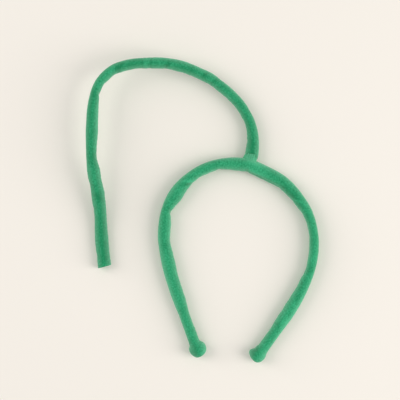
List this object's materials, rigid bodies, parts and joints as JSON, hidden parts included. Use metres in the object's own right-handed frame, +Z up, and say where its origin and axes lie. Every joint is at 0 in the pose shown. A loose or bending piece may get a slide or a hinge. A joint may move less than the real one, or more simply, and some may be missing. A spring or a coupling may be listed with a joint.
{
  "type": "antenna headband",
  "caption": "Cloth-covered springy head hoop with rounded tips and one long bendable cloth antenna arching from its crown to a plain cut end.",
  "frame": {"origin": "on the surface that the headband lies on, under the middle of its bounding box", "axes": "+X across the hoop, from the antenna's free leg towards the hoop's right leg; +Y from the hoop's tips towards its crown; +Z up off the surface"},
  "size_m": [0.1854, 0.2428, 0.0254],
  "materials": {
    "pile_cloth": "short soft pile, matt with a faint sheen along the edges",
    "binding_cloth": "thin cloth, drawn tight and pressed flat"
  },
  "bodies": {
    "root": {"band_sleeve": "pile_cloth", "left_tip": "pile_cloth", "right_tip": "pile_cloth", "antenna_sleeve": "pile_cloth", "antenna_neck": "binding_cloth"}
  },
  "joints": []
}
